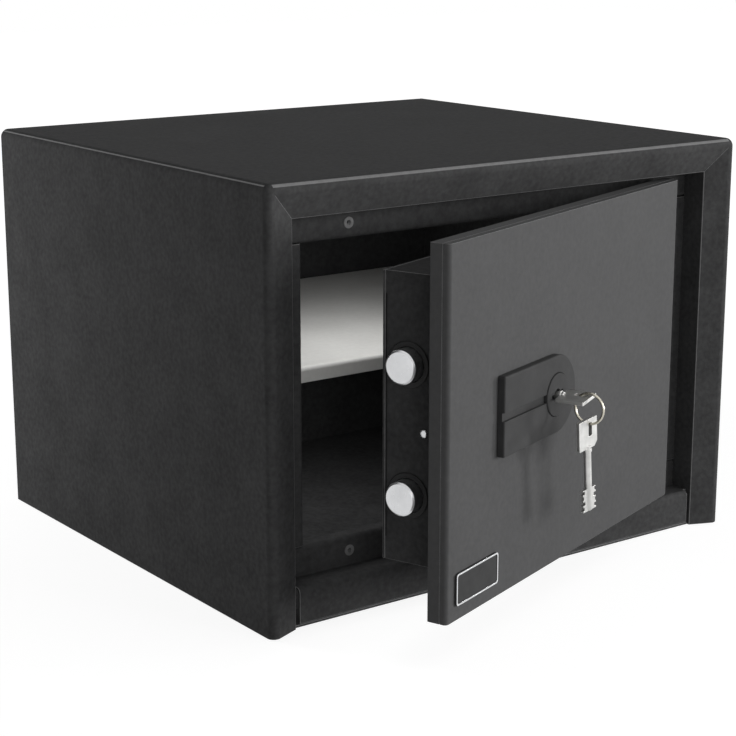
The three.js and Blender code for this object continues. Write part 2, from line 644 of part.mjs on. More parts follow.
// Sliding boltwork: two bolts screwed to a carriage, and the lock's own bolt that drives it
function addBoltwork(group) {
  const shankHole = boltScrew.shank + seat;
  for (const [end, z] of Object.entries(boltHeights)) {
    const place = [boltAxis, z];
    const nose = boltTip + bolt.chamfer;
    const steps = [[boltTip, bolt.radius - bolt.chamfer], [nose, bolt.radius], [boltEnd, bolt.radius]];
    const body = turned("x", steps, place, roundSides.large);
    const hole = bar("x", shankHole, [boltEnd - boltScrew.length, boltEnd + overrun], place);
    piece(group, `bolt_${end}`, cut(body, hole), "plated");
    piece(group, `bolt_screw_${end}`, screw("x", carriageBack + seat, -1, boltScrew, place), "zinc");
  }
  const linkPlace = [lockBoltFront + lockBolt.thickness / 2, lockAxis.z];
  const reach = bolt.radius + carriage.beyond;
  const deep = [carriage.front, boltAxis + bolt.radius];
  const tall = [boltHeights.lower - reach, boltHeights.upper + reach];
  const through = [carriageFront - overrun, carriageBack + overrun];
  const holes = Object.values(boltHeights).map((z) => bar("x", shankHole, through, [boltAxis, z]));
  const linkHole = bar("x", shankHole, through, linkPlace);
  const plate = block([carriageFront, carriageBack], deep, tall);
  piece(group, "bolt_carriage", cut(plate, ...holes, linkHole), "steel");

  const tail = lockAxis.x - lockBolt.tail;
  const body = block(
    [carriageBack + seat, tail],
    span(lockBoltFront, lockBolt.thickness),
    [lockAxis.z - lockBolt.half, lockAxis.z + lockBolt.half],
  );
  const tapped = bar("x", shankHole, span(carriageBack + seat - overrun, boltScrew.length), linkPlace);
  piece(group, "lock_bolt", cut(body, tapped), "brass");
  piece(group, "link_screw", screw("x", carriageFront - seat, 1, boltScrew, linkPlace), "zinc");
}

// Lock front: escutcheon with its cover groove, rosette with the keyhole, and the blank badge

// The keyhole's outline in (x, z): a round hole with a wing to each side, turned as the key is.
function keyholeSolid(from, to) {
  const centre = [lockAxis.x, lockAxis.z];
  const round = bar("y", keyhole.shaft, [from, to], centre);
  const wings = new THREE.BoxGeometry(2 * keyhole.wing, to - from, 2 * keyhole.wingHeight);
  wings.rotateY(-inserted.tilt);
  wings.translate(lockAxis.x, (from + to) / 2, lockAxis.z);
  return join(round, solidOf(wings));
}

function addLockFront(group) {
  const front = escutcheonBack - escutcheon.thickness;
  const centre = [lockAxis.x, lockAxis.z];
  const left = lockAxis.x - escutcheon.left;
  const low = lockAxis.z - escutcheon.radius;
  const high = lockAxis.z + escutcheon.radius;
  const outlineAt = (inset) => [
    [left + inset, high - inset],
    [left + inset, low + inset],
    ...arc(centre, escutcheon.radius - inset, -rightAngle, rightAngle, roundSides.small),
  ];
  const flatDeep = [front + escutcheon.edge, escutcheonBack];
  const lower = prism("y", outlineAt(0), flatDeep);
  const upper = prism("y", outlineAt(escutcheon.edge), [front, flatDeep[1]]);
  const hole = bar("y", rosette.radius + seat, [front - overrun, escutcheonBack + overrun], centre,
    roundSides.large);
  const grooveTall = [lockAxis.z - escutcheon.groove, lockAxis.z + escutcheon.groove];
  const groove = block([left - overrun, lockAxis.x], [front - overrun, front + escutcheon.grooveDepth], grooveTall);
  piece(group, "escutcheon", cut(join(lower, upper), hole, groove), "plastic");

  const face = panEdge.front - rosette.proud;
  const steps = [
    [face, rosette.radius - rosette.edge],
    [face + rosette.edge, rosette.radius],
    [escutcheonBack, rosette.radius],
  ];
  const body = turned("y", steps, centre, roundSides.large);
  const keyway = keyholeSolid(face - overrun, escutcheonBack + overrun);
  piece(group, "rosette", cut(body, keyway), "plastic");

  const across = span(panEdge.left + badge.inset, badge.width);
  const tall = span(panEdge.bottom + badge.above, badge.height);
  const corners = Array(4).fill(badge.corner);
  const badgeDeep = [escutcheonBack - badge.thickness, escutcheonBack];
  piece(group, "badge_plate", prism("y", roundedRectangle(across, tall, corners), badgeDeep), "plastic");
}

// Lever lock: case, cover, levers on two posts, and the curtain that turns with the key
function addLock(group) {
  const across = [caseEdge.left, caseEdge.right];
  const tall = [caseEdge.bottom, caseEdge.top];
  const inset = ([low, high]) => [low + lockCase.wall, high - lockCase.wall];
  const hollowDeep = [caseEdge.front + lockCase.wall, caseEdge.back + overrun];
  const boltSlot = block(
    [caseEdge.left - overrun, caseEdge.left + overrun],
    [lockBoltFront - running, lockBoltFront + lockBolt.thickness + running],
    [lockAxis.z - lockCase.slot, lockAxis.z + lockCase.slot],
  );
  const shell = cut(
    block(across, [caseEdge.front, caseEdge.back], tall),
    block(inset(across), hollowDeep, inset(tall)),
    boltSlot,
    throat(caseEdge.front, caseEdge.front),
  );
  piece(group, "lock_case", shell, "zinc");

  const places = {
    upper: [leverPostX, lockAxis.z + leverPost.spread],
    lower: [leverPostX, lockAxis.z - leverPost.spread],
  };
  const screwHoles = Object.values(places).map((place) => {
    return bar("y", leverScrew.shank + seat, [caseCoverFront - overrun, caseCoverBack + overrun], place);
  });
  const lid = block(across, [caseCoverFront, caseCoverBack], tall);
  piece(group, "lock_cover", cut(lid, ...screwHoles), "zinc");

  const postDeep = [caseEdge.front + lockCase.wall + seat, caseEdge.back];
  for (const [end, place] of Object.entries(places)) {
    const bore = bar("y", leverPost.bore, [postDeep[1] - leverPost.boreDepth, postDeep[1] + overrun], place);
    const postSolid = cut(bar("y", leverPost.radius, postDeep, place), bore);
    piece(group, `lever_post_${end}`, postSolid, "steel");
    piece(group, `lock_screw_${end}`, screw("y", caseCoverBack + seat, -1, leverScrew, place), "zinc");
  }

  for (let i = 0; i < lever.count; i++) {
    const deep = span(caseEdge.front + lever.first + i * lever.pitch, lever.thickness);
    const beyond = [deep[0] - overrun, deep[1] + overrun];
    const plate = block(
      [lockAxis.x - lever.left, lockAxis.x + lever.right],
      deep,
      [lockAxis.z - lever.half, lockAxis.z + lever.half],
    );
    const hole = bar("y", lever.hole, beyond, [lockAxis.x, lockAxis.z], roundSides.large);
    const slots = Object.values(places).map((place) => {
      return prism("y", slotOutline(place, leverPost.radius + seat, lever.slot / 2), beyond);
    });
    piece(group, `lever_${i + 1}`, cut(plate, hole, ...slots), "brass");
  }
}

// Keys

// A key along y from its bow's end at zero, flat across z, with its bow slot off to one side.
function keySolid() {
  const bowHalf = key.bowWidth / 2;
  const thick = [-key.plate / 2, key.plate / 2];
  const bow = block([-bowHalf, bowHalf], [0, key.bow], thick);
  const slotLow = key.slotOffset - key.slotWidth / 2;
  const beyond = [thick[0] - overrun, thick[1] + overrun];
  const slot = block(span(slotLow, key.slotWidth), span(key.bar, key.slot), beyond);
  const rod = bar("y", shaft.radius, [key.bow - shaft.overlap, key.length], [0, 0]);
  const collar = bar("y", shaft.radius + shaft.collar, span(key.bow, shaft.collarLength), [0, 0]);
  const bitStart = key.length - bit.length;
  const bitPlate = block([-bit.half, bit.half], [bitStart, key.length], thick);
  const free = bit.half - shaft.radius;
  const notches = bitShares.places.flatMap((place, i) => {
    const middle = bitStart + place * bit.length;
    const along = span(middle - bit.notch / 2, bit.notch);
    return [-1, 1].map((way) => {
      const count = bitShares.depths.length;
      const share = bitShares.depths[way > 0 ? i : count - 1 - i];
      return block(span(way * (bit.half + overrun), -way * (overrun + share * free)), along, beyond);
    });
  });
  return cut(join(bow, rod, collar, cut(bitPlate, ...notches)), slot);
}

// The key in the lock turns with the curtain behind the case's front wall.
function addKey(group) {
  const turned = new THREE.Group();
  turned.position.set(lockAxis.x, bowEnd, lockAxis.z);
  turned.rotation.y = -inserted.tilt;
  group.add(turned);
  piece(turned, "key", keySolid(), "nickel");
  const deep = span(caseEdge.front + lockCase.wall + seat, curtain.thickness);
  const disc = bar("y", curtain.radius, deep, [lockAxis.x, lockAxis.z], roundSides.large);
  piece(group, "lock_curtain", cut(disc, keyholeSolid(deep[0] - overrun, deep[1] + overrun)), "brass");
}

// The ring hangs on the bar of the key's bow, and the spare key hangs on the ring's lowest point.
function addRingAndSpare(group) {
  const barMiddle = bowEnd + key.bar / 2;
  const ringX = lockAxis.x + key.slotOffset * Math.cos(inserted.tilt);
  const ringZ = lockAxis.z + key.slotOffset * Math.sin(inserted.tilt) - ring.drop;
  const torus = new THREE.TorusGeometry(ring.radius, ring.wire, ring.sides, ring.steps);
  torus.rotateY(rightAngle);
  torus.translate(ringX, barMiddle, ringZ);
  piece(group, "key_ring", solidOf(torus), "nickel");

  const hang = new THREE.Group();
  hang.position.set(ringX, barMiddle, ringZ - ring.radius);
  hang.rotation.y = -spare.lean;
  hang.rotation.z = -spare.turn;
  group.add(hang);
  const spareKey = piece(hang, "spare_key", keySolid(), "nickel");
  spareKey.rotation.x = -rightAngle;
  spareKey.position.set(-key.slotOffset, 0, key.bar + seat + ring.wire);
}

// Assembly
const safe = new THREE.Group();
const body = new THREE.Group();
body.position.y = -cabinet.depth / 2;
safe.add(body);
addCabinetPanels(body);
addDoorFrame(body);
addShelf(body);
addHinge(body);

const swing = new THREE.Group();
swing.position.set(pivot.x, pivot.y, 0);
swing.rotation.z = hinge.openAngle;
body.add(swing);
const door = new THREE.Group();
door.position.set(-pivot.x, -pivot.y, 0);
swing.add(door);
addDoorPan(door);
addBoltBox(door);
addBoxCover(door);
addHingeBushes(door);
addBoltGuides(door);
addBoltwork(door);
addLockFront(door);
addLock(door);
addKey(door);
addRingAndSpare(door);

export default safe;
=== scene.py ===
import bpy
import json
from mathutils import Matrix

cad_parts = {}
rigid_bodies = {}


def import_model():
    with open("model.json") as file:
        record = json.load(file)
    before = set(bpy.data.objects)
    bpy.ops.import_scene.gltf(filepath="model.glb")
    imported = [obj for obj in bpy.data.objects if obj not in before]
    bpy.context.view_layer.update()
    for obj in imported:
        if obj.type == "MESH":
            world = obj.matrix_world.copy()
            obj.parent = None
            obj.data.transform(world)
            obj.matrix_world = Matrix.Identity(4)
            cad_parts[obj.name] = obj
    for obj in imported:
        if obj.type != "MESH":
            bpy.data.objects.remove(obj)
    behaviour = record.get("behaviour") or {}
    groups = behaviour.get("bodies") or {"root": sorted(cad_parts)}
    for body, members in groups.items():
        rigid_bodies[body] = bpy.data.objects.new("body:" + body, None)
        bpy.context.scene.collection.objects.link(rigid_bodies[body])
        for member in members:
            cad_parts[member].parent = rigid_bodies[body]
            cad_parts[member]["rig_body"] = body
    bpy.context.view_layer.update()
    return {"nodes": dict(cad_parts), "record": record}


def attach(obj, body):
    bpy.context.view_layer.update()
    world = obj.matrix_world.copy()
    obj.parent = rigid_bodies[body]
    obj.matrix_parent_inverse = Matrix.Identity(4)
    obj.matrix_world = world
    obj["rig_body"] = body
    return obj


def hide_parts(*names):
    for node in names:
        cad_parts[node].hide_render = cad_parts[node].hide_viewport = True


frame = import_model()

import json
from math import cos, pi, radians, sin

import bmesh
import bpy
from mathutils import Matrix, Vector

print("frame loaded:", len(frame["nodes"]), "nodes")

# Pieces are drawn in millimetres from the middle of the cabinet's front, the door's as if it were
# shut, and are then put where the frame has them.
mm = 0.001
hang = {"x": 167.5, "y": 35.0, "open": 20.4, "halfDepth": 200.0}
cabinetPlace = Matrix.Scale(mm, 4) @ Matrix.Translation((0, -hang["halfDepth"], 0))
doorPlace = (
    cabinetPlace
    @ Matrix.Translation((hang["x"], hang["y"], 0))
    @ Matrix.Rotation(radians(hang["open"]), 4, "Z")
    @ Matrix.Translation((-hang["x"], -hang["y"], 0))
)


# Finishes

def newFinish(name, shader):
    finish = bpy.data.materials.new(name)
    finish.use_nodes = True
    nodes, links = finish.node_tree.nodes, finish.node_tree.links
    surface = nodes["Principled BSDF"]
    for socket, value in shader.items():
        surface.inputs[socket].default_value = value
    return finish, nodes, links, surface


def addNoise(nodes, links, source, scale, detail=2.0, roughness=0.5):
    noise = nodes.new("ShaderNodeTexNoise")
    noise.inputs["Scale"].default_value = scale
    noise.inputs["Detail"].default_value = detail
    noise.inputs["Roughness"].default_value = roughness
    links.new(source, noise.inputs["Vector"])
    return noise.outputs[0]


def addRange(nodes, links, source, low=0.0, high=1.0, fromLow=0.3, fromHigh=0.7):
    spread = nodes.new("ShaderNodeMapRange")
    spread.inputs["From Min"].default_value = fromLow
    spread.inputs["From Max"].default_value = fromHigh
    spread.inputs["To Min"].default_value = low
    spread.inputs["To Max"].default_value = high
    links.new(source, spread.inputs["Value"])
    return spread.outputs[0]


# For colours, inputs 6 and 7 are the two that are mixed and output 2 is the result
def addTone(nodes, links, source, dark, light):
    tone = nodes.new("ShaderNodeMix")
    tone.data_type = "RGBA"
    tone.inputs[6].default_value = (*dark, 1)
    tone.inputs[7].default_value = (*light, 1)
    links.new(source, tone.inputs[0])
    return tone.outputs[2]


# Adds values up, each times its share
def addShares(nodes, links, parts):
    total = None
    for value, share in parts:
        step = nodes.new("ShaderNodeMath")
        step.operation = "MULTIPLY"
        step.inputs[1].default_value = share
        links.new(value, step.inputs[0])
        if total is not None:
            step.operation = "MULTIPLY_ADD"
            links.new(total, step.inputs[2])
        total = step.outputs[0]
    return total


def addBump(nodes, links, surface, heights, look):
    bump = nodes.new("ShaderNodeBump")
    bump.inputs["Distance"].default_value = look["relief"]
    bump.inputs["Strength"].default_value = look["strength"]
    links.new(addShares(nodes, links, heights), bump.inputs["Height"])
    links.new(bump.outputs["Normal"], surface.inputs["Normal"])


# How far each noise of a coat goes into its tone and its relief
coatShares = {"cloudTone": 0.5, "peelTone": 0.5, "grainRelief": 0.7, "peelRelief": 0.6}


# Powder coat: a fine pebbled skin, a slow orange peel and faint clouds in tone and gloss
def powderCoat(name, coat):
    finish, nodes, links, surface = newFinish(
        name, {"Metallic": 0.0, "Specular IOR Level": coat["gloss"]})
    place = nodes.new("ShaderNodeTexCoord").outputs["Object"]
    grain = addNoise(nodes, links, place, coat["grain"], detail=3.0, roughness=0.6)
    peel = addNoise(nodes, links, place, coat["peel"])
    cloud = addNoise(nodes, links, place, coat["cloud"], detail=4.0, roughness=0.6)
    mottle = addShares(nodes, links, [
        (addRange(nodes, links, cloud), coatShares["cloudTone"]),
        (addRange(nodes, links, peel), coatShares["peelTone"]),
    ])
    tone = addTone(nodes, links, mottle, coat["dark"], coat["light"])
    links.new(tone, surface.inputs["Base Color"])
    links.new(addRange(nodes, links, cloud, *coat["roughness"]), surface.inputs["Roughness"])
    skin = [(grain, coatShares["grainRelief"]), (peel, coatShares["peelRelief"])]
    addBump(nodes, links, surface, skin, coat)
    return finish


# Moulded plastic: satin, with a fine spark-eroded grain
def mouldedPlastic(name, look):
    finish, nodes, links, surface = newFinish(
        name, {"Metallic": 0.0, "Specular IOR Level": look["gloss"]})
    place = nodes.new("ShaderNodeTexCoord").outputs["Object"]
    spark = addNoise(nodes, links, place, look["grain"], detail=2.0, roughness=0.7)
    cloud = addNoise(nodes, links, place, look["cloud"], detail=3.0, roughness=0.5)
    tone = addTone(nodes, links, addRange(nodes, links, cloud), look["dark"], look["light"])
    links.new(tone, surface.inputs["Base Color"])
    links.new(addRange(nodes, links, spark, *look["roughness"]), surface.inputs["Roughness"])
    addBump(nodes, links, surface, [(spark, 1.0)], look)
    return finish


# Bare or plated metal: drawn or brushed lines along one way, with clouds of handling in its tone
def bareMetal(name, look):
    finish, nodes, links, surface = newFinish(name, {"Metallic": 1.0})
    place = nodes.new("ShaderNodeTexCoord").outputs["Object"]
    along = nodes.new("ShaderNodeMapping")
    along.inputs["Rotation"].default_value = (0, 0, radians(-hang["open"]))
    along.inputs["Scale"].default_value = look["stretch"]
    links.new(place, along.inputs["Vector"])
    lines = addNoise(
        nodes, links, along.outputs["Vector"], look["lines"], detail=3.0, roughness=0.6)
    cloud = addNoise(nodes, links, place, look["cloud"], detail=3.0, roughness=0.6)
    tone = addTone(nodes, links, addRange(nodes, links, cloud), look["dark"], look["light"])
    links.new(tone, surface.inputs["Base Color"])
    links.new(addRange(nodes, links, lines, *look["roughness"]), surface.inputs["Roughness"])
    addBump(nodes, links, surface, [(lines, 1.0)], look)
    return finish


coats = {
    "cabinetCoat": {
        "dark": (0.042, 0.042, 0.0426), "light": (0.076, 0.076, 0.0768),
        "roughness": (0.6, 0.72), "gloss": 0.006,
        "grain": 950.0, "peel": 260.0, "cloud": 26.0, "relief": 0.00022, "strength": 0.5,
    },
    # The door's coat: the cabinet's black coat made lighter, a painted sheen for the light the
    # door catches, and a little glossier
    "doorCoat": {
        "dark": (0.078, 0.078, 0.079), "light": (0.096, 0.096, 0.097),
        "roughness": (0.6, 0.72), "gloss": 0.02,
        "grain": 950.0, "peel": 260.0, "cloud": 20.0, "relief": 0.00018, "strength": 0.45,
    },
    "shelfCoat": {
        "dark": (0.68, 0.675, 0.65), "light": (0.76, 0.755, 0.73),
        "roughness": (0.45, 0.55), "gloss": 0.4,
        "grain": 950.0, "peel": 260.0, "cloud": 24.0, "relief": 0.00016, "strength": 0.4,
    },
    # Lighter copies of the cabinet's and the door's coats: painted highlights on rounded edges and
    # rolls
    "cabinetRim": {
        "dark": (0.16, 0.16, 0.161), "light": (0.22, 0.22, 0.221),
        "roughness": (0.45, 0.6), "gloss": 0.1,
        "grain": 950.0, "peel": 260.0, "cloud": 60.0, "relief": 0.0001, "strength": 0.3,
    },
    "doorRim": {
        "dark": (0.19, 0.19, 0.191), "light": (0.26, 0.26, 0.261),
        "roughness": (0.45, 0.6), "gloss": 0.1,
        "grain": 950.0, "peel": 260.0, "cloud": 60.0, "relief": 0.0001, "strength": 0.3,
    },
}
plastics = {
    "lockPlastic": {
        "dark": (0.044, 0.044, 0.0445), "light": (0.056, 0.056, 0.0565),
        "roughness": (0.42, 0.54), "gloss": 0.03,
        "grain": 1400.0, "cloud": 60.0, "relief": 0.0001, "strength": 0.35,
    },
    "guidePlastic": {
        "dark": (0.024, 0.024, 0.024), "light": (0.034, 0.034, 0.034),
        "roughness": (0.35, 0.5), "gloss": 0.1,
        "grain": 1400.0, "cloud": 60.0, "relief": 0.0001, "strength": 0.3,
    },
    "bearingPlastic": {
        "dark": (0.55, 0.52, 0.44), "light": (0.64, 0.6, 0.52),
        "roughness": (0.45, 0.6), "gloss": 0.4,
        "grain": 1200.0, "cloud": 90.0, "relief": 0.0001, "strength": 0.3,
    },
}
metals = {
    "boltPlate": {
        "dark": (0.56, 0.565, 0.575), "light": (0.66, 0.665, 0.675), "roughness": (0.26, 0.38),
        "stretch": (9.0, 1.0, 1.0), "lines": 260.0, "cloud": 45.0,
        "relief": 0.00005, "strength": 0.2,
    },
    "keyNickel": {
        "dark": (0.42, 0.42, 0.41), "light": (0.54, 0.537, 0.525), "roughness": (0.34, 0.46),
        "stretch": (1.0, 1.0, 7.0), "lines": 320.0, "cloud": 120.0,
        "relief": 0.00005, "strength": 0.2,
    },
    "ringNickel": {
        "dark": (0.42, 0.4, 0.34), "light": (0.56, 0.53, 0.45), "roughness": (0.22, 0.32),
        "stretch": (1.0, 1.0, 1.0), "lines": 320.0, "cloud": 160.0,
        "relief": 0.00004, "strength": 0.2,
    },
    "screwZinc": {
        "dark": (0.4, 0.42, 0.44), "light": (0.56, 0.57, 0.57), "roughness": (0.3, 0.48),
        "stretch": (1.0, 1.0, 1.0), "lines": 700.0, "cloud": 160.0,
        "relief": 0.0001, "strength": 0.3,
    },
    "plainSteel": {
        "dark": (0.2, 0.2, 0.205), "light": (0.32, 0.32, 0.32), "roughness": (0.34, 0.52),
        "stretch": (1.0, 1.0, 6.0), "lines": 220.0, "cloud": 40.0,
        "relief": 0.0001, "strength": 0.3,
    },
    "sawnBrass": {
        "dark": (0.46, 0.32, 0.12), "light": (0.62, 0.45, 0.2), "roughness": (0.28, 0.46),
        "stretch": (5.0, 1.0, 1.0), "lines": 260.0, "cloud": 70.0,
        "relief": 0.0001, "strength": 0.3,
    },
}
finishes = {name: powderCoat(name, coat) for name, coat in coats.items()}
finishes.update({name: mouldedPlastic(name, look) for name, look in plastics.items()})
finishes.update({name: bareMetal(name, look) for name, look in metals.items()})
slotFinish = {
    "coated": "cabinetCoat", "shelf_coat": "shelfCoat", "door": "doorCoat",
    "plastic": "lockPlastic", "plated": "boltPlate", "nickel": "keyNickel", "zinc": "screwZinc",
    "steel": "plainSteel", "brass": "sawnBrass", "bearing": "bearingPlastic",
}
# The coats' rounded edges and rolls wear a lighter copy of the coat: a painted highlight, standing
# for the light they catch
paintedHighlightFinish = {"cabinetCoat": "cabinetRim", "doorCoat": "doorRim"}
nodeSlot = {row["node"]: row["material_slot"] for row in frame["record"]["subparts"]}
for nodeName, node in frame["nodes"].items():
    node.material_slots[0].link = "OBJECT"
    node.material_slots[0].material = finishes[slotFinish[nodeSlot[nodeName]]]
print("finishes made:", len(finishes))


# Making and fitting pieces

# Gaps under which corners merge, and angles in degrees under which faces join into one flat.
# The frame's own nodes are in metres, all else in millimetres.
merging = {
    "blank": 0.0005, "carved": 0.03, "carvedFlat": 0.3, "node": 2e-6, "flat": 0.5,
}


def linked(name, mesh):
    piece = bpy.data.objects.new(name, mesh)
    bpy.context.scene.collection.objects.link(piece)
    return piece


def blank(name, bm):
    bmesh.ops.remove_doubles(bm, verts=bm.verts, dist=merging["blank"])
    bmesh.ops.recalc_face_normals(bm, faces=bm.faces)
    mesh = bpy.data.meshes.new(name)
    bm.to_mesh(mesh)
    bm.free()
    return linked(name, mesh)


# Merges what a cut left closer together than this
def cleaned(bm, gap):
    bmesh.ops.remove_doubles(bm, verts=bm.verts, dist=gap)
    bmesh.ops.dissolve_degenerate(bm, edges=bm.edges, dist=gap / 2)
    bmesh.ops.dissolve_limit(
        bm, angle_limit=radians(merging["carvedFlat"]), verts=bm.verts, edges=bm.edges)
    return bm


# Cuts tools out of a piece, or joins them to it, and leaves a plain mesh
def carve(piece, tools, operation="DIFFERENCE"):
    for tool in tools:
        step = piece.modifiers.new("carve", "BOOLEAN")
        step.object = tool
        step.operation = operation
        step.solver = "EXACT"
    graph = bpy.context.evaluated_depsgraph_get()
    made = bpy.data.meshes.new_from_object(piece.evaluated_get(graph))
    piece.modifiers.clear()
    piece.data = made
    bm = bmesh.new()
    bm.from_mesh(made)
    cleaned(bm, merging["carved"])
    bm.to_mesh(made)
    bm.free()
    for tool in tools:
        bpy.data.objects.remove(tool)
    return piece


# Soft edges: angles in degrees, lengths in mm, areas in square mm. A sheet's mitres are blunter
# than its other sharp edges and get only a share of the width.
softEdge = {
    "sheetAngle": 28, "plainAngle": 35, "mitreAngle": 35, "mitreShare": 0.2, "segments": 2,
    "longEdge": 3.0, "smallFace": 1.5,
}


# Which of a sheet's sharp edges are rounded: the long ones, and the short ones that carry on from
# them between faces that are large enough. Round holes touch no long edge and keep sharp rims.
def sheetRims(sharp):
    longEdge, smallFace = softEdge["longEdge"] * mm, softEdge["smallFace"] * mm * mm
    rims = [edge for edge in sharp if edge.calc_length() > longEdge]
    reached = set(rims)
    while rims:
        near = {other for edge in rims for v in edge.verts for other in v.link_edges}
        rims = [edge for edge in sharp if edge in near and edge not in reached
                and min(face.calc_area() for face in edge.link_faces) > smallFace]
        reached.update(rims)
    return reached


# Rounds a piece's sharp edges, in its last finish, which on the coats is the lighter coat painted
# as a highlight
def soften(piece, width, sheet):
    bm = bmesh.new()
    bm.from_mesh(piece.data)
    share = bm.edges.layers.float.new("bevel_weight_edge")
    angle = radians(softEdge["sheetAngle" if sheet else "plainAngle"])
    mitre = radians(softEdge["mitreAngle"])
    sharp = [edge for edge in bm.edges if edge.is_manifold and edge.calc_face_angle() > angle]
    rims = sheetRims(sharp) if sheet else sharp
    for edge in sharp:
        edge.smooth = edge in rims
    for edge in rims:
        edge[share] = 1.0 if edge.calc_face_angle() > mitre else softEdge["mitreShare"]
    bm.to_mesh(piece.data)
    bm.free()
    rounding = piece.modifiers.new("soft edges", "BEVEL")
    rounding.width = width * mm
    rounding.segments = softEdge["segments"]
    rounding.limit_method = "WEIGHT"
    rounding.use_clamp_overlap = False
    rounding.face_strength_mode = "FSTR_ALL"
    rounding.material = len(piece.data.materials) - 1


# Puts a finished piece in its place, on its body, in its finish
def fit(piece, place, body, slot, nodes=(), soft=0.0, finish=None, sheet=False):
    piece.data.transform(place)
    piece.data.materials.clear()
    worn = finish or slotFinish[slot]
    piece.data.materials.append(finishes[worn])
    # Coats get a second, lighter finish for their rounded edges: a painted highlight
    if worn in paintedHighlightFinish:
        piece.data.materials.append(finishes[paintedHighlightFinish[worn]])
    piece.data.polygons.foreach_set("use_smooth", [True] * len(piece.data.polygons))
    if soft:
        soften(piece, soft, sheet)
    flats = piece.modifiers.new("flats stay flat", "WEIGHTED_NORMAL")
    flats.use_face_influence = bool(soft)
    flats.keep_sharp = True
    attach(piece, body)
    if nodes:
        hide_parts(*nodes)
    return piece


def boxBlank(name, low, high):
    bm = bmesh.new()
    size = [b - a for a, b in zip(low, high)]
    middle = [(a + b) / 2 for a, b in zip(low, high)]
    stand = Matrix.Translation(middle) @ Matrix.Diagonal((*size, 1))
    bmesh.ops.create_cube(bm, size=1, matrix=stand)
    return blank(name, bm)


# Angles from a dome's top out to its rim
def domeTurns(steps):
    return [i * pi / (2 * steps) for i in range(steps + 1)]


# A turned blank from steps of (place along the axis, radius), about x or y
def turnedBlank(name, steps, axis, centre, sides):
    bm = bmesh.new()
    corners = [bm.verts.new((radius, 0, along)) for along, radius in steps]
    edges = [bm.edges.new(pair) for pair in zip(corners, corners[1:])]
    bmesh.ops.spin(bm, geom=corners + edges, cent=(0, 0, 0), axis=(0, 0, 1), angle=2 * pi,
                   steps=sides, use_merge=True)
    turns = {
        "x": Matrix.Translation((0, *centre)) @ Matrix.Rotation(pi / 2, 4, "Y"),
        "y": Matrix.Translation((centre[0], 0, centre[1])) @ Matrix.Rotation(-pi / 2, 4, "X"),
    }
    bm.transform(turns[axis])
    return blank(name, bm)


# A flat rectangle in x and y
def gridFace(bm, low, high, z):
    middle = Matrix.Translation(((low[0] + high[0]) / 2, (low[1] + high[1]) / 2, z))
    size = Matrix.Diagonal((high[0] - low[0], high[1] - low[1], 1, 1))
    bmesh.ops.create_grid(bm, x_segments=1, y_segments=1, size=0.5, matrix=middle @ size)


def roundCorners(bm, corners, radius, segments):
    bmesh.ops.bevel(bm, geom=corners, offset=radius, segments=segments, profile=0.5,
                    affect="VERTICES", material=-1)


def raiseFaces(bm, height):
    raised = bmesh.ops.extrude_face_region(bm, geom=bm.faces[:])["geom"]
    lifted = [item for item in raised if isinstance(item, bmesh.types.BMVert)]
    bmesh.ops.translate(bm, vec=(0, 0, height), verts=lifted)


# A flat plate with rounded corners, drawn in x and y and raised along z
def plateBlank(name, low, high, radius, height, segments=6):
    bm = bmesh.new()
    gridFace(bm, low, high, height[0])
    if radius:
        roundCorners(bm, bm.verts[:], radius, segments)
    raiseFaces(bm, height[1] - height[0])
    return blank(name, bm)


# Sheet pieces and the plain ones inside: the frame's own shapes, merged, with soft edges

sheetEdges = {
    "cabinet_shell": 0.5, "back_panel": 0.15, "floor_panel": 0.5, "bottom_rail": 0.4,
    "top_stop": 0.4, "keeper_post": 0.4, "hinge_post": 0.4, "shelf": 0.4,
    "shelf_support_left_front": 0.4, "shelf_support_left_rear": 0.4,
    "shelf_support_right_front": 0.4, "shelf_support_right_rear": 0.4,
    "hinge_bracket_lower": 0.3, "hinge_bracket_upper": 0.3,
    "hinge_pin_lower": 0.5, "hinge_pin_upper": 0.5, "thrust_washer": 0.15,
    "door_inner_plate": 0.4, "boltwork_box": 0.3, "boltwork_cover": 0.4,
    "hinge_bush_lower": 0.25, "hinge_bush_upper": 0.25, "lock_case": 0.4, "lock_cover": 0.4,
    "bolt_carriage": 0.4, "lock_bolt": 0.4, "lock_curtain": 0.3, "drill_guard": 0.4,
}


def mergedCopy(node):
    bm = bmesh.new()
    bm.from_mesh(frame["nodes"][node].data)
    bmesh.ops.remove_doubles(bm, verts=bm.verts, dist=merging["node"])
    bmesh.ops.dissolve_limit(
        bm, angle_limit=radians(merging["flat"]), verts=bm.verts, edges=bm.edges)
    return bm


def pieceName(node):
    first, *rest = node.split("_")
    return first + "".join(word.capitalize() for word in rest) + "Piece"


def copyPiece(node, bm, width):
    mesh = bpy.data.meshes.new(pieceName(node))
    bm.to_mesh(mesh)
    bm.free()
    piece = linked(pieceName(node), mesh)
    body = frame["nodes"][node]["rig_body"]
    return fit(piece, Matrix.Identity(4), body, nodeSlot[node], [node], width, sheet=True)


# The faces of the rolls round the cabinet's top, by the slope of their normals, which get the
# painted highlight: above is in metres
rolls = {
    "above": 0.3, "square": 0.05, "forward": -0.3, "front": (0.55, 0.9), "side": (0.72, 0.85),
}


# The rolls wear the lighter coat along their middle: a painted highlight
def paintRollHighlights(piece):
    for face in piece.data.polygons:
        across, along, rise = face.normal
        front = (along < rolls["forward"] and abs(across) < rolls["square"]
                 and rolls["front"][0] < rise < rolls["front"][1])
        side = abs(along) < rolls["square"] and rolls["side"][0] < rise < rolls["side"][1]
        if face.center.z > rolls["above"] and (front or side):
            face.material_index = 1


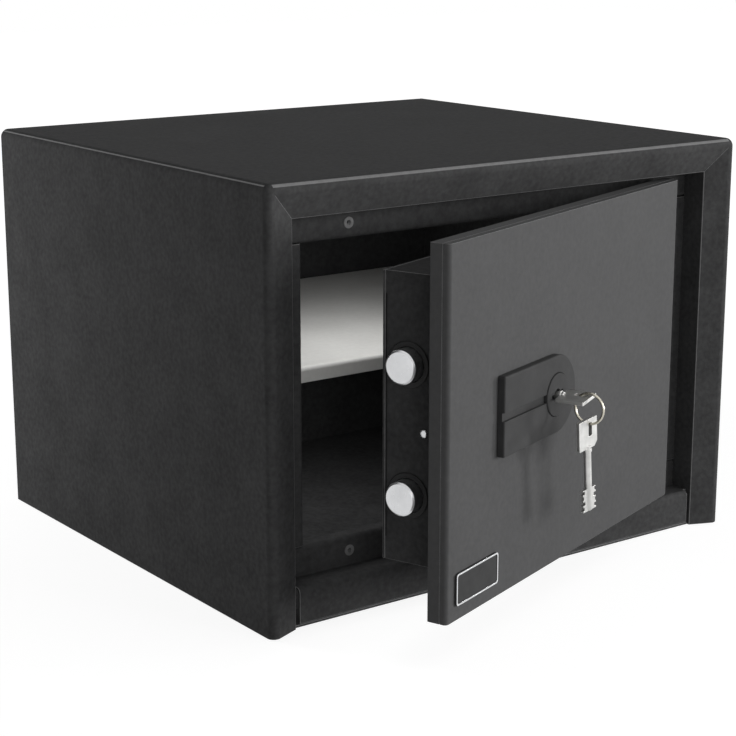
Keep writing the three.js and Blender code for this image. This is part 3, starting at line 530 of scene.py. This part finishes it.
for nodeName, width in sheetEdges.items():
    sheetPiece = copyPiece(nodeName, mergedCopy(nodeName), width)
    if nodeName == "cabinet_shell":
        paintRollHighlights(sheetPiece)
print("sheet pieces made:", len(sheetEdges))


# Eyelets in the stop flanges' holes

eyelet = {
    "x": -135.0, "z": {"upper": 283.0, "lower": 41.0}, "face": 28.97, "rise": 0.5, "outer": 4.2,
    "body": 2.9, "bore": 1.7, "length": 3.2, "edge": 0.3, "sides": 40, "soft": 0.06,
}


def makeEyelets():
    e = eyelet
    front, back = e["face"] - e["rise"], e["face"] + e["length"]
    steps = [
        (e["face"], e["body"]), (e["face"], e["outer"]), (front + e["edge"], e["outer"]),
        (front, e["outer"] - e["edge"]), (front, e["bore"] + e["edge"]),
        (front + e["edge"], e["bore"]), (back, e["bore"]), (back, e["body"]),
        (e["face"], e["body"]),
    ]
    for end, z in e["z"].items():
        ring = turnedBlank(f"eyelet{end.capitalize()}", steps, "y", (e["x"], z), e["sides"])
        # The eyelets wear the whole of the lighter coat made for painted highlights
        fit(ring, cabinetPlace, "cabinet", "coated", soft=e["soft"], finish="cabinetRim")


makeEyelets()
print("eyelets made")


# Door pan, with the seam where its front skin laps over the tray behind

pan = {
    "seamFront": 13.2, "seamBack": 13.8, "seamDepth": 0.45, "seamInset": 0.001, "reach": 9.0,
    "onCut": 1e-4, "merge": 0.01, "soft": 0.12,
}


def makeDoorPan():
    bm = mergedCopy("door_pan")
    bm.transform(doorPlace.inverted())
    low = [min(v.co[i] for v in bm.verts) for i in range(3)]
    high = [max(v.co[i] for v in bm.verts) for i in range(3)]
    for y in (pan["seamFront"], pan["seamBack"]):
        bmesh.ops.bisect_plane(bm, geom=bm.verts[:] + bm.edges[:] + bm.faces[:],
                               dist=pan["onCut"], plane_co=(0, y, 0), plane_no=(0, 1, 0))

    # The band between the two cuts, on the pan's outer walls
    def onSeam(face):
        middle = face.calc_center_median()
        aside = (middle.x - (low[0] + high[0]) / 2) * face.normal.x
        upright = (middle.z - (low[2] + high[2]) / 2) * face.normal.z
        toSide = min(middle.x - low[0], high[0] - middle.x)
        toEnd = min(middle.z - low[2], high[2] - middle.z)
        between = pan["seamFront"] < middle.y < pan["seamBack"]
        return between and aside + upright > 0 and min(toSide, toEnd) < pan["reach"]

    seam = [face for face in bm.faces if onSeam(face)]
    bmesh.ops.inset_region(bm, faces=seam, thickness=pan["seamInset"], depth=-pan["seamDepth"],
                           use_even_offset=True)
    cleaned(bm, pan["merge"])
    bm.transform(doorPlace)
    copyPiece("door_pan", bm, pan["soft"])


makeDoorPan()
print("door pan made")


# Bolts, their bushes and the rivet in the box's free side

roundBolt = {
    "y": 58.7, "upper": 199.0, "lower": 107.0, "radius": 12.0, "tip": -170.5, "end": -112.3,
    "chamfer": 1.4, "dimple": 1.6, "dimpleDepth": 0.9, "hole": 3.3, "holeDepth": 18.0,
    "sides": 72, "soft": 0.3,
}
boltBush = {
    "bore": 12.4, "outer": 14.0, "flange": 16.2, "front": -160.0, "face": -158.8,
    "back": -150.8, "lip": 0.5, "sides": 72, "soft": 0.12,
}
rivet = {
    "y": 46.5, "z": 152.5, "face": -158.8, "head": 3.0, "rise": 1.8, "shank": 1.8,
    "length": 10.0, "domeSteps": 8, "sides": 40,
}


def makeBolts():
    b, g = roundBolt, boltBush
    holeEnd = b["end"] - b["holeDepth"]
    steps = [
        (b["tip"] + b["dimpleDepth"], 0.0), (b["tip"], b["dimple"]),
        (b["tip"], b["radius"] - b["chamfer"]), (b["tip"] + b["chamfer"], b["radius"]),
        (b["end"], b["radius"]), (b["end"], b["hole"]), (holeEnd, b["hole"]), (holeEnd, 0.0),
    ]
    lipBack = g["front"] + g["lip"]
    ring = [
        (g["front"], g["bore"] + g["lip"]), (g["front"], g["flange"] - g["lip"]),
        (lipBack, g["flange"]), (g["face"], g["flange"]), (g["face"], g["outer"]),
        (g["back"], g["outer"]), (g["back"], g["bore"]), (lipBack, g["bore"]),
        (g["front"], g["bore"] + g["lip"]),
    ]
    for end in ("upper", "lower"):
        centre = (b["y"], b[end])
        bolt = turnedBlank(f"roundBolt{end.capitalize()}", steps, "x", centre, b["sides"])
        fit(bolt, doorPlace, "boltwork", "plated", [f"bolt_{end}"], b["soft"])
        bush = turnedBlank(f"boltBush{end.capitalize()}", ring, "x", centre, g["sides"])
        fit(bush, doorPlace, "door", "plastic", [f"bolt_bush_{end}"], g["soft"], "guidePlastic")


def makeRivet():
    r = rivet
    back = r["face"] + r["length"]
    dome = [(r["face"] - r["rise"] * cos(turn), r["head"] * sin(turn))
            for turn in domeTurns(r["domeSteps"])]
    steps = [*dome, (r["face"], r["shank"]), (back, r["shank"]), (back, 0.0)]
    head = turnedBlank("sideRivet", steps, "x", (r["y"], r["z"]), r["sides"])
    fit(head, doorPlace, "door", "plated", ["side_rivet"])


makeBolts()
makeRivet()
print("bolts made")


# Lock front: escutcheon, rosette with the keyhole, blank badge with its raised frame. Cutting
# tools reach past what they cut.

lockAt = {"x": -51.5, "z": 163.0, "back": 7.7, "cutFront": -9.0, "cutBack": 15.0}
escutcheon = {
    "left": 75.5, "radius": 28.5, "front": 2.2, "corner": 1.5, "cornerSteps": 5, "edge": 1.2,
    "edgeSteps": 4, "groove": 3.0, "grooveDepth": 2.0, "grooveSunk": 2.0, "hole": 16.0,
    "holeSides": 80, "sides": 96, "past": 5.0, "merge": 0.01, "onLine": 1e-4, "atEnd": 0.1,
    "atTop": 1e-3, "soft": 0.25,
}
rosette = {
    "radius": 15.7, "front": 1.4, "edge": 0.5, "dish": 9.5, "dishEdge": 10.4, "dishDeep": 0.35,
    "shaft": 4.3, "wing": 8.1, "wingHalf": 1.7, "tilt": 8.0, "sides": 72, "shaftSides": 40,
    "soft": 0.08,
}
badge = {
    "low": (-181.0, 44.0), "high": (-125.0, 67.0), "front": 6.3, "corner": 3.0,
    "cornerSteps": 8, "rimInset": 0.25, "rimWide": 1.15, "rimRise": 0.16, "rimSunk": 0.02,
    "rimTighter": 0.8, "fieldDeep": 0.35, "fieldTighter": 1.2, "past": 2, "under": -1,
    "soft": 0.15, "rimSoft": 0.04,
}


# Half a disc, drawn out to the left as far as the plate goes
def escutcheonBlank():
    e = escutcheon
    bm = bmesh.new()
    bmesh.ops.create_circle(bm, cap_ends=True, segments=e["sides"], radius=e["radius"])
    bmesh.ops.bisect_plane(bm, geom=bm.verts[:] + bm.edges[:] + bm.faces[:],
                           plane_co=(0, 0, 0), plane_no=(-1, 0, 0), clear_outer=True)
    bmesh.ops.remove_doubles(bm, verts=bm.verts, dist=e["merge"])
    straight = [edge for edge in bm.edges if all(abs(v.co.x) < e["onLine"] for v in edge.verts)]
    drawn = bmesh.ops.extrude_edge_only(bm, edges=straight)["geom"]
    ends = [item for item in drawn if isinstance(item, bmesh.types.BMVert)]
    bmesh.ops.translate(bm, vec=(-e["left"], 0, 0), verts=ends)
    corners = [v for v in bm.verts if v.co.x < e["atEnd"] - e["left"] and len(v.link_edges) == 2]
    roundCorners(bm, corners, e["corner"], e["cornerSteps"])
    raiseFaces(bm, lockAt["back"] - e["front"])
    top = lockAt["back"] - e["front"] - e["atTop"]
    bmesh.ops.dissolve_limit(
        bm, angle_limit=radians(merging["flat"]), verts=bm.verts, edges=bm.edges)
    rim = [edge for edge in bm.edges if all(v.co.z > top for v in edge.verts)]
    bmesh.ops.bevel(bm, geom=rim, offset=e["edge"], segments=e["edgeSteps"], profile=0.5,
                    affect="EDGES", material=-1)
    stand = Matrix.Translation((lockAt["x"], lockAt["back"], lockAt["z"]))
    bm.transform(stand @ Matrix.Rotation(pi / 2, 4, "X"))
    return blank("keyEscutcheon", bm)


def makeEscutcheon():
    e = escutcheon
    plate = escutcheonBlank()
    front, back = lockAt["cutFront"], lockAt["back"] + e["past"]
    hole = turnedBlank("hole", [(front, 0), (front, e["hole"]), (back, e["hole"]), (back, 0)],
                       "y", (lockAt["x"], lockAt["z"]), e["holeSides"])
    groove = plateBlank("groove", (lockAt["x"] - e["left"] - e["past"], -e["groove"]),
                        (lockAt["x"], e["groove"]), 0, (-e["grooveSunk"], e["past"]))
    floor = e["front"] + e["grooveDepth"] - e["grooveSunk"]
    groove.data.transform(Matrix.Translation((0, floor, lockAt["z"]))
                          @ Matrix.Rotation(pi / 2, 4, "X"))
    carve(plate, [hole, groove])
    fit(plate, doorPlace, "door", "plastic", ["escutcheon"], e["soft"])


def makeRosette():
    r = rosette
    dishFloor = r["front"] + r["dishDeep"]
    steps = [
        (dishFloor, 0.0), (dishFloor, r["dish"]), (r["front"], r["dishEdge"]),
        (r["front"], r["radius"] - r["edge"]), (r["front"] + r["edge"], r["radius"]),
        (lockAt["back"], r["radius"]), (lockAt["back"], 0.0),
    ]
    centre = (lockAt["x"], lockAt["z"])
    disc = turnedBlank("lockRosette", steps, "y", centre, r["sides"])
    front, back = lockAt["cutFront"], lockAt["cutBack"]
    shaft = turnedBlank("round", [(front, 0), (front, r["shaft"]), (back, r["shaft"]), (back, 0)],
                        "y", centre, r["shaftSides"])
    wings = boxBlank("wings", (-r["wing"], front, -r["wingHalf"]),
                     (r["wing"], back, r["wingHalf"]))
    wings.data.transform(Matrix.Translation((lockAt["x"], 0, lockAt["z"]))
                         @ Matrix.Rotation(radians(-r["tilt"]), 4, "Y"))
    carve(disc, [shaft, wings])
    fit(disc, doorPlace, "door", "plastic", ["rosette"], r["soft"])


def makeBadge():
    b = badge
    stand = Matrix.Translation((0, lockAt["back"], 0)) @ Matrix.Rotation(pi / 2, 4, "X")
    thick = lockAt["back"] - b["front"]

    # A plate of the badge's outline, moved in by some way, its corners that much tighter
    def badgeBlank(name, inset, tighter, height):
        low, high = [v + inset for v in b["low"]], [v - inset for v in b["high"]]
        return plateBlank(name, low, high, b["corner"] - tighter, height, b["cornerSteps"])

    inner = b["rimInset"] + b["rimWide"]
    plate = badgeBlank("badgePlate", 0, 0, (0, thick))
    carve(plate, [badgeBlank("field", inner, b["fieldTighter"],
                             (thick - b["fieldDeep"], thick + b["past"]))])
    plate.data.transform(stand)
    fit(plate, doorPlace, "door", "plastic", ["badge_plate"], b["soft"])
    rim = badgeBlank("badgeFrame", b["rimInset"], b["rimTighter"],
                     (thick - b["rimSunk"], thick + b["rimRise"]))
    carve(rim, [badgeBlank("middle", inner, b["fieldTighter"], (b["under"], thick + b["past"]))])
    rim.data.transform(stand)
    fit(rim, doorPlace, "door", "plated", soft=b["rimSoft"])


makeEscutcheon()
makeRosette()
makeBadge()
print("lock front made")


# Keys and ring

keyShape = {
    "length": 69.0, "bow": 22.0, "bowWidth": 21.0, "plate": 2.5, "bowCorner": 0.8,
    "bowCornerSteps": 4, "bowSlope": 3.4, "bar": 3.0, "slotLong": 10.0, "slotWide": 4.0,
    "slotAside": 2.5, "slotCorner": 1.2, "shaft": 2.7, "shaftSides": 40, "overlap": 2.0,
    "collar": 3.3, "collarLong": 2.0, "bitLong": 17.0, "bitHalf": 7.5, "bitCorner": 0.5,
    "bitCornerSteps": 3, "notch": 2.6, "places": (0.12, 0.36, 0.6, 0.84),
    "depths": (0.3, 0.5, 0.2, 0.42), "tip": 0.8, "cutHalf": 5, "past": 4, "soft": 0.2,
}
keyPlaces = {
    "bowEnd": -23.5, "tilt": 8.0, "ringX": -49.0243, "ringY": -22.0, "ringZ": 155.598,
    "ringRadius": 11.0, "wire": 1.0, "seat": 0.3, "lean": 6.0, "turn": 9.0,
}
splitRing = {
    "coils": 2, "steps": 144, "halfWide": 0.95, "halfThick": 0.66, "pitch": 1.0, "sides": 12,
}


# The bow's plate: three small round corners and one cut off slantwise beside the shaft
def bowBlank(name):
    k = keyShape
    half, middle = k["bowWidth"] / 2, k["bow"] / 2
    bm = bmesh.new()
    gridFace(bm, (-half, 0), (half, k["bow"]), -k["plate"] / 2)
    slope = [v for v in bm.verts if v.co.x > 0 and v.co.y > middle]
    roundCorners(bm, slope, k["bowSlope"], 1)
    small = [v for v in bm.verts if v.co.x < 0 or v.co.y < middle]
    roundCorners(bm, small, k["bowCorner"], k["bowCornerSteps"])
    raiseFaces(bm, k["plate"])
    return blank(name, bm)


def rodBlank():
    k = keyShape
    start, collarEnd = k["bow"] - k["overlap"], k["bow"] + k["collarLong"]
    return turnedBlank("rod", [
        (start, 0.0), (start, k["shaft"]), (k["bow"], k["shaft"]), (k["bow"], k["collar"]),
        (collarEnd, k["collar"]), (collarEnd, k["shaft"]),
        (k["length"] - k["tip"], k["shaft"]), (k["length"], k["shaft"] - k["tip"]),
        (k["length"], 0.0),
    ], "y", (0, 0), k["shaftSides"])


# The double bit, with notches of its own depths in each side
def bitBlank():
    k = keyShape
    half, start = k["plate"] / 2, k["length"] - k["bitLong"]
    bit = plateBlank("bit", (-k["bitHalf"], start), (k["bitHalf"], k["length"]), k["bitCorner"],
                     (-half, half), k["bitCornerSteps"])
    free = k["bitHalf"] - k["shaft"]
    cuts = []
    for i, place in enumerate(k["places"]):
        middle = start + place * k["bitLong"]
        for way, share in ((1, k["depths"][i]), (-1, k["depths"][-1 - i])):
            inner = way * (k["bitHalf"] - share * free)
            outer = way * (k["bitHalf"] + k["past"])
            cuts.append(boxBlank(
                "notch", (min(inner, outer), middle - k["notch"] / 2, -k["cutHalf"]),
                (max(inner, outer), middle + k["notch"] / 2, k["cutHalf"])))
    return carve(bit, cuts)


# A key along y from its bow's end at zero, flat across z
def keyBlank(name):
    k = keyShape
    bow = bowBlank(name)
    half = k["slotWide"] / 2
    slot = plateBlank("slot", (k["slotAside"] - half, k["bar"]),
                      (k["slotAside"] + half, k["bar"] + k["slotLong"]), k["slotCorner"],
                      (-k["cutHalf"], k["cutHalf"]))
    carve(bow, [slot])
    return carve(bow, [rodBlank(), bitBlank()], "UNION")


def makeKeys():
    k, p = keyShape, keyPlaces
    inLock = (doorPlace @ Matrix.Translation((lockAt["x"], p["bowEnd"], lockAt["z"]))
              @ Matrix.Rotation(radians(-p["tilt"]), 4, "Y"))
    fit(keyBlank("lockKey"), inLock, "inserted_key", "nickel", ["key"], k["soft"])
    hanging = (doorPlace
               @ Matrix.Translation((p["ringX"], p["ringY"], p["ringZ"] - p["ringRadius"]))
               @ Matrix.Rotation(radians(-p["lean"]), 4, "Y")
               @ Matrix.Rotation(radians(-p["turn"]), 4, "Z")
               @ Matrix.Translation((-k["slotAside"], 0, k["bar"] + p["seat"] + p["wire"]))
               @ Matrix.Rotation(-pi / 2, 4, "X"))
    fit(keyBlank("spareKey"), hanging, "second_key", "nickel", ["spare_key"], k["soft"])


# One flat section, spun twice round and drawn sideways by a coil's pitch
def makeSplitRing():
    s, p = splitRing, keyPlaces
    bm = bmesh.new()
    bmesh.ops.create_circle(bm, cap_ends=True, segments=s["sides"], radius=1.0)
    bm.transform(Matrix.Translation((0, p["ringRadius"], -s["pitch"] / 2))
                 @ Matrix.Rotation(pi / 2, 4, "Y")
                 @ Matrix.Diagonal((s["halfThick"], s["halfWide"], 1, 1)))
    rise = s["pitch"] / s["steps"]
    bmesh.ops.spin(bm, geom=bm.verts[:] + bm.edges[:] + bm.faces[:], cent=(0, 0, 0),
                   axis=(0, 0, 1), dvec=(0, 0, rise * (s["coils"] - 1) / s["coils"]),
                   angle=2 * pi * s["coils"], steps=s["steps"] * s["coils"])
    bm.transform(Matrix.Translation((p["ringX"], p["ringY"], p["ringZ"]))
                 @ Matrix.Rotation(pi / 2, 4, "Y"))
    ring = blank("splitRing", bm)
    fit(ring, doorPlace, "ring", "nickel", ["key_ring"], finish="ringNickel")


makeKeys()
makeSplitRing()
print("keys made")


# Cross-head screws in the box's cover

coverScrew = {
    "x": {"free": -150.5, "hinge": 170.0}, "z": {"lower": 66.0, "upper": 254.0}, "face": 80.1,
    "head": 4.5, "rise": 2.2, "crown": 0.8, "crownSteps": 10, "shank": 2.0, "length": 9.0,
    "recess": 2.4, "blade": 0.45, "deep": 1.5, "past": 2, "sides": 40, "soft": 0.04,
}


def makeCoverScrews():
    c = coverScrew
    top, end = c["face"] + c["rise"], c["face"] - c["length"]
    crown = [(c["face"] + c["rise"] * cos(turn) ** c["crown"], c["head"] * sin(turn))
             for turn in domeTurns(c["crownSteps"])]
    steps = [(end, 0.0), (end, c["shank"]), (c["face"], c["shank"]), *reversed(crown)]
    bottom, over = top - c["deep"], top + c["past"]
    for side, x in c["x"].items():
        for level, z in c["z"].items():
            name = f"coverScrew{side.capitalize()}{level.capitalize()}"
            head = turnedBlank(name, steps, "y", (x, z), c["sides"])
            blades = [boxBlank("blade", (x - across, bottom, z - up), (x + across, over, z + up))
                      for across, up in ((c["recess"], c["blade"]), (c["blade"], c["recess"]))]
            carve(head, blades)
            fit(head, doorPlace, "door", "zinc", [f"cover_screw_{side}_{level}"], c["soft"])


makeCoverScrews()
print("screws made")


# Studio: pale floor, white surround, soft lamps and the photograph's viewing angle

white = (1, 1, 1, 1)
studio = {
    "floorHalf": 6.0, "floorDrop": 0.0004, "floorBounce": 0.5, "floorTone": 0.3,
    "floorRough": 0.9, "near": 0.5, "far": 1.6, "nearGlow": 0.86, "farGlow": 1.0,
    "surround": 0.18, "seenSurround": 1.0,
}


# One where the camera, a reflection or glass looks, zero for light that falls on the object
def seenShare(nodes, links):
    path = nodes.new("ShaderNodeLightPath")
    share = path.outputs["Is Camera Ray"]
    for ray in ("Is Glossy Ray", "Is Transmission Ray"):
        most = nodes.new("ShaderNodeMath")
        most.operation = "MAXIMUM"
        links.new(share, most.inputs[0])
        links.new(path.outputs[ray], most.inputs[1])
        share = most.outputs[0]
    return share


# The floor that is seen glows more with distance, so no horizon shows and the shadow stays near
def floorPaint():
    paint, nodes, links, surface = newFinish("studioWhite", {
        "Base Color": (*[studio["floorBounce"]] * 3, 1), "Roughness": studio["floorRough"],
        "Specular IOR Level": 0.0})
    seen = nodes.new("ShaderNodeBsdfPrincipled")
    seen.inputs["Base Color"].default_value = (*[studio["floorTone"]] * 3, 1)
    seen.inputs["Roughness"].default_value = studio["floorRough"]
    seen.inputs["Specular IOR Level"].default_value = 0.0
    seen.inputs["Emission Color"].default_value = white
    spot = nodes.new("ShaderNodeVectorMath")
    spot.operation = "LENGTH"
    links.new(nodes.new("ShaderNodeTexCoord").outputs["Object"], spot.inputs[0])
    glow = addRange(nodes, links, spot.outputs["Value"], studio["nearGlow"], studio["farGlow"],
                    studio["near"], studio["far"])
    links.new(glow, seen.inputs["Emission Strength"])
    mix = nodes.new("ShaderNodeMixShader")
    links.new(seenShare(nodes, links), mix.inputs[0])
    links.new(surface.outputs[0], mix.inputs[1])
    links.new(seen.outputs[0], mix.inputs[2])
    links.new(mix.outputs[0], nodes["Material Output"].inputs["Surface"])
    return paint


def makeFloor():
    bm = bmesh.new()
    bmesh.ops.create_grid(bm, x_segments=1, y_segments=1, size=studio["floorHalf"])
    bmesh.ops.translate(bm, vec=(0, 0, -studio["floorDrop"]), verts=bm.verts)
    mesh = bpy.data.meshes.new("studioFloor")
    bm.to_mesh(mesh)
    bm.free()
    mesh.materials.append(floorPaint())
    floor = linked("studioFloor", mesh)


def makeSurround():
    world = bpy.data.worlds.new("studioSurround")
    bpy.context.scene.world = world
    world.use_nodes = True
    nodes, links = world.node_tree.nodes, world.node_tree.links
    backdrop = nodes["Background"]
    backdrop.inputs["Color"].default_value = white
    level = nodes.new("ShaderNodeMapRange")
    level.inputs["To Min"].default_value = studio["surround"]
    level.inputs["To Max"].default_value = studio["seenSurround"]
    links.new(seenShare(nodes, links), level.inputs["Value"])
    links.new(level.outputs[0], backdrop.inputs["Strength"])


lamps = {
    "keySoftbox": {
        "at": (2.93, -1.3, 0.36), "aim": (-0.02, -0.24, 0.15), "size": (0.36, 0.54),
        "power": 43.0,
    },
    "frontSoftbox": {
        "at": (1.4, -2.2, 0.7), "aim": (0.1, -0.2, 0.16), "size": (1.6, 1.2), "power": 32.5,
    },
    "leftSoftbox": {
        "at": (-0.75, -1.6, 0.5), "aim": (0.0, -0.2, 0.16), "size": (0.8, 0.8), "power": 4.2,
    },
    "overheadSoftbox": {
        "at": (0.3, -0.9, 1.5), "aim": (0.0, -0.25, 0.25), "size": (1.0, 0.8), "power": 2.4,
    },
    "rearSoftbox": {
        "at": (-0.62, 0.62, 0.26), "aim": (-0.22, 0.16, 0.16), "size": (0.2, 0.5),
        "power": 3.3,
    },
    "upperInside": {
        "at": (-0.06, -0.08, 0.3), "aim": (-0.06, -0.08, 0.17), "size": (0.2, 0.14),
        "power": 0.24,
    },
    "lowerInside": {
        "at": (-0.06, 0.0, 0.14), "aim": (-0.06, 0.0, 0.02), "size": (0.2, 0.2), "power": 0.12,
    },
}


def makeLamps():
    for name, lamp in lamps.items():
        light = bpy.data.lights.new(name, "AREA")
        light.shape = "RECTANGLE"
        light.size, light.size_y = lamp["size"]
        light.energy = lamp["power"]
        stand = linked(name, light)
        stand.location = lamp["at"]
        stand.visible_camera = False
        towards = Vector(lamp["aim"]) - Vector(lamp["at"])
        stand.rotation_euler = towards.to_track_quat("-Z", "Y").to_euler()


# Lengths in metres, angles in degrees, lens and sensor in millimetres
photoCamera = {
    "at": (-0.88408, -1.21885, 0.49491), "turn": 36.169, "down": 13.823, "lens": 90.89,
    "sensor": 36.0, "near": 0.05, "far": 60,
}


def makeCamera():
    camera = linked("photoCamera", bpy.data.cameras.new("photoCamera"))
    camera.data.lens = photoCamera["lens"]
    camera.data.sensor_width = photoCamera["sensor"]
    camera.data.clip_start, camera.data.clip_end = photoCamera["near"], photoCamera["far"]
    camera.location = photoCamera["at"]
    camera.rotation_euler = (
        radians(90 - photoCamera["down"]), 0, radians(-photoCamera["turn"]))
    bpy.context.scene.camera = camera


makeFloor()
makeSurround()
makeLamps()
makeCamera()
bpy.context.scene.view_settings.view_transform = "Standard"
print("studio made")
